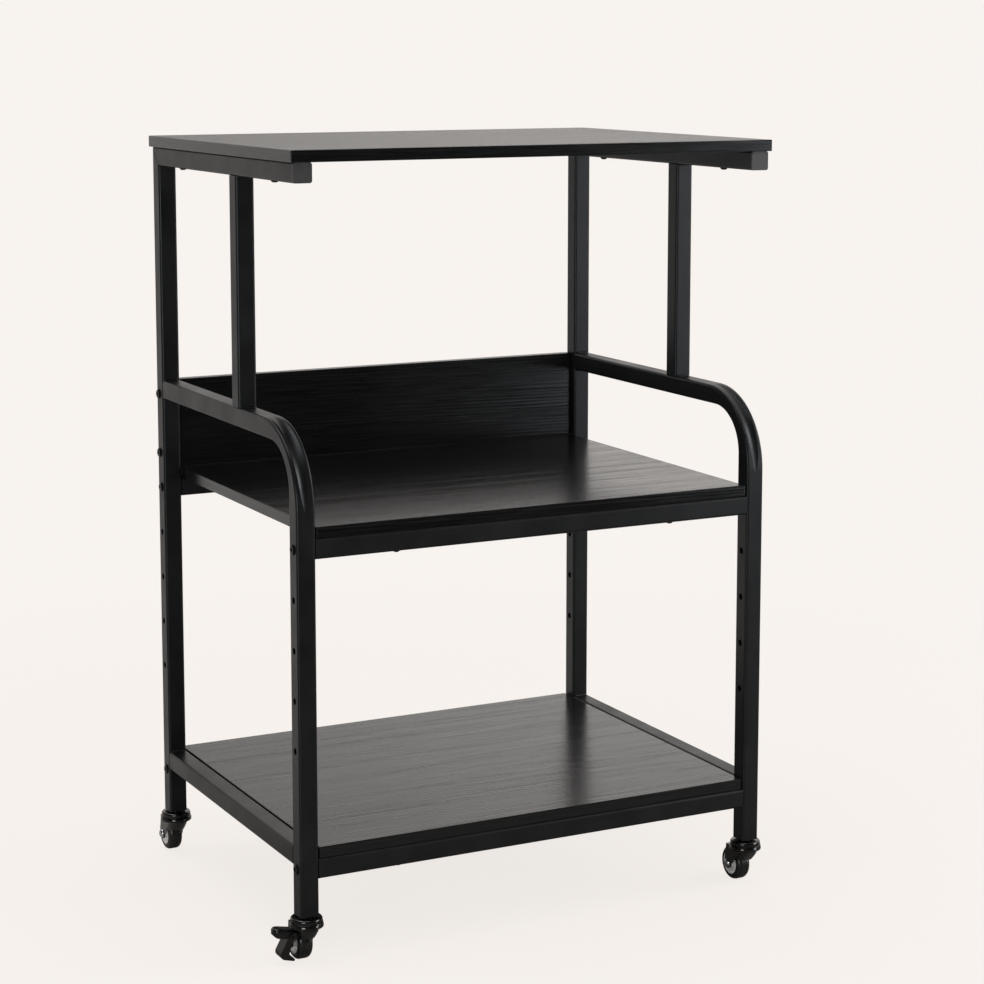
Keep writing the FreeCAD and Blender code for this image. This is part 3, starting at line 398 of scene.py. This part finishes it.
weldPlaces = {  # y and z of each joint's corner, and which way out of the corner is open
    "postFootFront": (-0.06035, 0.544, -1, 1), "postFootRear": (-0.04035, 0.544, 1, 1),
    "postHeadFront": (-0.06035, 0.7808, -1, -1), "postHeadRear": (-0.04035, 0.7808, 1, -1),
    "armTop": (0.17005, 0.544, -1, 1), "armUnder": (0.17005, 0.524, -1, -1),
    "railFrontTop": (-0.19035, 0.1211, 1, 1), "railFrontUnder": (-0.19035, 0.1011, 1, -1),
    "railRearTop": (0.17005, 0.1211, -1, 1), "railRearUnder": (0.17005, 0.1011, -1, -1),
}
weldModel = modelWeldBead()
for side, sign in (("left", -1), ("right", 1)):
    for where, (y, z, openY, openZ) in weldPlaces.items():
        middle = (sign * weld["tubeX"], y - openY * weld["sink"], z - openZ * weld["sink"])
        copyTo(weldModel, f"{side}_{where}_weld", Matrix.Translation(middle), "stand",
               "frame_steel")
bpy.data.objects.remove(weldModel)
print("weld beads:", 2 * len(weldPlaces))

rolledRim = {
    "radius": 0.0162, "thick": 0.0006, "flatten": 0.72, "around": 72, "across": 12,
    "rooted": 0.4,  # how much of its thickness reaches into the cup
    "rows": {"upper": (0.04415, 1.0), "lower": (0.03975, 1.03)},  # height, and how much wider
}


def modelRolledRim():
    # the cup's edge is rolled, and shows as a fine bright line on the black enamel
    clearSelection()
    bpy.ops.mesh.primitive_torus_add(
        major_segments=rolledRim["around"], minor_segments=rolledRim["across"],
        major_radius=rolledRim["radius"], minor_radius=rolledRim["thick"])
    rim = bpy.context.active_object
    bpy.ops.object.mode_set(mode="EDIT")
    bpy.ops.mesh.select_all(action="SELECT")
    bpy.ops.transform.resize(value=(1, 1, rolledRim["flatten"]), center_override=(0, 0, 0))
    inside = rolledRim["radius"] - rolledRim["rooted"] * rolledRim["thick"]
    pickVertices(rim, lambda c: math.hypot(c.x, c.y) < inside)  # what lies in the cup is cut away
    bpy.ops.mesh.delete(type="VERT")
    bpy.ops.mesh.select_all(action="SELECT")
    bpy.ops.mesh.region_to_loop()
    bpy.ops.mesh.bridge_edge_loops()
    bpy.ops.mesh.select_all(action="SELECT")
    bpy.ops.mesh.normals_make_consistent(inside=False)
    bpy.ops.object.mode_set(mode="OBJECT")
    bpy.ops.object.shade_smooth_by_angle(angle=creaseAngle)
    return rim


cupBand = {
    "bottom": 0.0397, "tall": 0.0045, "inner": 0.0159, "around": 72,  # metres, round the cup
    "radii": (0.01675, 0.01725, 0.01735, 0.01725, 0.017, 0.01668, 0.01625),  # from below, domed
}


def modelCupBand():
    # the pressed cover of the ball race: a low dome that catches the lamps as two spots
    clearSelection()
    rows = cupBand["radii"]
    bottom, top = cupBand["bottom"], cupBand["bottom"] + cupBand["tall"]
    bpy.ops.mesh.primitive_cylinder_add(vertices=cupBand["around"], radius=rows[0],
                                        depth=cupBand["tall"], location=(0, 0, (bottom + top) / 2))
    band = bpy.context.active_object
    bpy.ops.object.transform_apply(location=True, rotation=True, scale=True)
    bpy.ops.object.mode_set(mode="EDIT")
    pickEdges(band, lambda a, b: abs(a.z - b.z) > cupBand["tall"] / 2)
    bpy.ops.mesh.subdivide(number_cuts=len(rows) - 2)
    step = cupBand["tall"] / (len(rows) - 1)
    near = step / 4
    for row, radius in enumerate(rows):
        pickVertices(band, lambda c: abs(c.z - bottom - row * step) < near)
        wider = radius / rows[0]
        bpy.ops.transform.resize(value=(wider, wider, 1), center_override=(0, 0, 0))
    for height, radius in ((bottom, rows[0]), (top, rows[-1])):
        pickVertices(band, lambda c: abs(c.z - height) < near)  # each lid shrinks to the cup's wall
        bpy.ops.mesh.extrude_region_move()
        shrink = cupBand["inner"] / radius
        bpy.ops.transform.resize(value=(shrink, shrink, 1), center_override=(0, 0, height))
        bpy.ops.mesh.delete(type="ONLY_FACE")
    wall = cupBand["inner"] + slack
    pickEdges(band, lambda a, b: abs(a.z - b.z) < near
              and max(math.hypot(a.x, a.y), math.hypot(b.x, b.y)) < wall)
    bpy.ops.mesh.bridge_edge_loops()
    bpy.ops.mesh.select_all(action="SELECT")
    bpy.ops.mesh.normals_make_consistent(inside=False)
    bpy.ops.object.mode_set(mode="OBJECT")
    bpy.ops.object.shade_smooth_by_angle(angle=creaseAngle)
    return band


casterPlaces = {
    "front_left": (-0.26005, -0.20035), "front_right": (0.26005, -0.20035),
    "rear_left": (-0.26005, 0.18005), "rear_right": (0.26005, 0.18005),
}
rimModel = modelRolledRim()
bandModel = modelCupBand()
for corner, (x, y) in casterPlaces.items():
    body = f"{corner}_swivel"
    copyTo(bandModel, f"{corner}_cup_band", Matrix.Translation((x, y, 0)), body, "caster_steel")
    for where, (height, wider) in rolledRim["rows"].items():
        move = Matrix.Translation((x, y, height)) @ Matrix.Diagonal((wider, wider, 1, 1))
        copyTo(rimModel, f"{corner}_{where}_rim", move, body, "caster_steel")
bpy.data.objects.remove(rimModel)
bpy.data.objects.remove(bandModel)
print("cup bands and rims:", len(casterPlaces) * (1 + len(rolledRim["rows"])))

floorLook = {
    "radius": 1.8, "sides": 96, "fade": (0.75, 1.65),  # metres from the middle, where it fades out
    "color": "#f4efe9", "glow": "#f8f3ef", "evenOut": 0.88,  # the camera sees it evened out
    "mirrored": "#86837f",  # painted shade: reflections see the paper darker than the camera does
    "mirrorFrom": (0.55, -0.15), "mirrorShare": (0.3, 1),  # less so at the rear, by y
}


def paleFloor():
    # a round of pale paper that keeps the stand's shadow and fades into the ground behind
    clearSelection()
    bpy.ops.mesh.primitive_circle_add(vertices=floorLook["sides"], radius=floorLook["radius"],
                                      fill_type="NGON")
    floor = bpy.context.active_object
    floor.name = "paleFloor"
    material, tree = newFinish("palePaperSweep")
    place = addNode(tree, "TexCoord", take="Object")
    reach = addNode(tree, "VectorMath", {0: place}, take="Value", operation="LENGTH")
    fade = addNode(tree, "MapRange", {"Value": reach, **ends("From", floorLook["fade"])},
                   take="Result", interpolation_type="SMOOTHSTEP")
    ray = addNode(tree, "LightPath")
    along = addNode(tree, "SeparateXYZ", {"Vector": place}, take="Y")
    share = addNode(tree, "MapRange", {
        "Value": along, **ends("From", floorLook["mirrorFrom"]),
        **ends("To", floorLook["mirrorShare"])}, take="Result")
    # painted shade in reflections: glossy rays see the paper darker, most towards the front
    darker = addNode(tree, "Math", {0: ray.outputs["Is Glossy Ray"], 1: share}, take="Value",
                     operation="MULTIPLY")
    tone = addNode(tree, "Mix", {
        "Factor": darker, "A": hexColor(floorLook["color"]), "B": hexColor(floorLook["mirrored"])},
        take="Result", data_type="RGBA")
    paper = addNode(tree, "BsdfDiffuse", {"Color": tone}, take="BSDF")
    glow = addNode(tree, "Emission", {"Color": hexColor(floorLook["glow"]), "Strength": 1.0},
                   take="Emission")
    seen = addNode(tree, "Math", {0: ray.outputs["Is Camera Ray"], 1: floorLook["evenOut"]},
                   take="Value", operation="MULTIPLY")
    even = addNode(tree, "MixShader", {"Fac": seen, 1: paper, 2: glow}, take="Shader")
    gone = addNode(tree, "BsdfTransparent", take="BSDF")
    faded = addNode(tree, "MixShader", {"Fac": fade, 1: even, 2: gone}, take="Shader")
    addNode(tree, "OutputMaterial", {"Surface": faded})
    floor.data.materials.append(material)


paleFloor()

studio = {
    "paper": "#f8f3ef", "seen": 1.0,  # what the camera sees behind the stand
    "fill": 0.5,  # plain light from all round
    "ramps": {  # what gloss sees: axis of the direction, where the ramp runs, strength at its ends
        "low": ("X", (-0.35, 0.35), (1.25, 0.1)),  # near the floor the paper is less lit at right
        "depth": ("Y", (-0.45, 0.25), (0.08, 1.0)),  # a dark room in front, the paper behind
        "rise": ("Z", (0.05, 0.2), ("low", 1.6)),  # from the ramp low to the brightest part
        "fall": ("Z", (0.2, 0.36), (1.0, 0.55)),  # and down again towards the top
        "leftEnd": ("X", (-0.6, -0.32), (0.2, 1.0)),  # dark at the far left
        "rightPart": ("X", (0.3, 0.5), (0.72, 1.0)),  # full strength only at the right
    },
    "lamps": {
        "overheadSoftbox": {"watts": 40, "size": 2.2, "place": (-0.5, 0.2, 3.0),
                            "aim": (0, 0, 0.4)},
        "rightSoftbox": {"watts": 22, "size": 1.0, "place": (2.2, -1.0, 1.5),
                         "aim": (0, 0.1, 0.5)},
        "lowRightPanel": {"watts": 14, "size": 0.9, "place": (2.1, -1.9, 0.5),
                          "aim": (0.2, 0, 0.4)},
        "lowLeftPanel": {"watts": 14, "size": 0.8, "place": (-1.7, -1.75, 0.5),
                         "aim": (-0.2, -0.1, 0.2)},
    },
}


def lightStudio():
    world = bpy.data.worlds.new("softStudio")
    bpy.context.scene.world = world
    world.use_nodes = True
    tree = world.node_tree
    tree.nodes.clear()
    way = addNode(tree, "TexCoord", take="Generated")
    axes = addNode(tree, "SeparateXYZ", {"Vector": way})
    made = {}
    for name, (axis, span, (first, last)) in studio["ramps"].items():
        made[name] = addNode(tree, "MapRange", {
            "Value": axes.outputs[axis], **ends("From", span),
            **ends("To", (made.get(first, first), last))},
            take="Result", interpolation_type="SMOOTHSTEP")
    level = made["depth"]
    for name in ("rise", "fall", "leftEnd", "rightPart"):
        level = addNode(tree, "Math", {0: level, 1: made[name]}, take="Value",
                        operation="MULTIPLY")
    ray = addNode(tree, "LightPath")
    gloss = addNode(tree, "Math", {
        0: ray.outputs["Is Glossy Ray"], 1: ray.outputs["Is Transmission Ray"]},
        take="Value", operation="ADD", use_clamp=True)
    around = addNode(tree, "Mix", {"Factor": gloss, "A": studio["fill"], "B": level},
                     take="Result", data_type="FLOAT")
    shown = addNode(tree, "Mix", {
        "Factor": ray.outputs["Is Camera Ray"], "A": around, "B": studio["seen"]},
        take="Result", data_type="FLOAT")
    paper = addNode(tree, "Background", {"Color": hexColor(studio["paper"]), "Strength": shown},
                    take="Background")
    addNode(tree, "OutputWorld", {"Surface": paper})
    for name, lamp in studio["lamps"].items():
        clearSelection()
        bpy.ops.object.light_add(type="AREA", location=lamp["place"])
        softbox = bpy.context.active_object
        softbox.name = name
        softbox.data.size = lamp["size"]
        softbox.data.energy = lamp["watts"]
        toAim = Vector(lamp["aim"]) - softbox.location
        softbox.rotation_euler = toAim.to_track_quat("-Z", "Y").to_euler()


lightStudio()

view = {
    "place": (-1.16479, -2.36874, 0.91628), "down": 0.1359, "turn": -0.4743,  # metres, radians
    "lens": 89.27, "sensor": 36, "shiftY": -0.12,
}
clearSelection()
bpy.ops.object.camera_add(location=view["place"],
                          rotation=(math.pi / 2 - view["down"], 0, view["turn"]))
camera = bpy.context.active_object
camera.data.sensor_width = view["sensor"]
camera.data.lens = view["lens"]
camera.data.shift_y = view["shiftY"]
bpy.context.scene.camera = camera
bpy.context.scene.view_settings.view_transform = "Standard"
print("floor, light and camera set")
